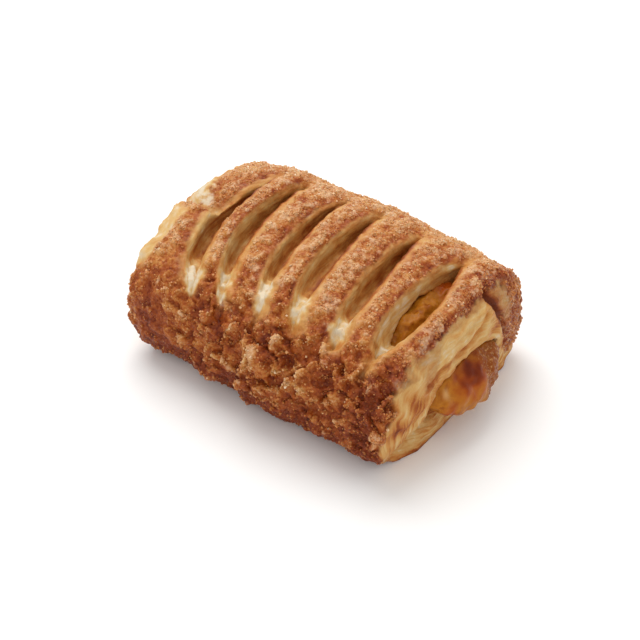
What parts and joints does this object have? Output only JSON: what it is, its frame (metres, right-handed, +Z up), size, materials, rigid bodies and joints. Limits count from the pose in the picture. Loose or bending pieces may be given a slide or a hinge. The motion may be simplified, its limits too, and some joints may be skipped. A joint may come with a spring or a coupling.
{
  "type": "sugared apple puff pastry",
  "caption": "Oblong puff pastry with a slit, sugared top of rounded strips over a soft apple filling that shows at both open ends.",
  "frame": {"origin": "middle of the flat base, half way along the dough's length", "axes": "+X along the pastry, towards the end where the filling swells out; +Y towards the folded back; +Z up"},
  "size_m": [0.1277, 0.0905, 0.0481],
  "materials": {
    "crust": "baked golden brown with sugar grains, pale cream where cut",
    "filling": "glossy stewed apple, caramelised at the open end"
  },
  "bodies": {
    "root": {"pastry": "crust", "filling": "filling"}
  },
  "joints": []
}
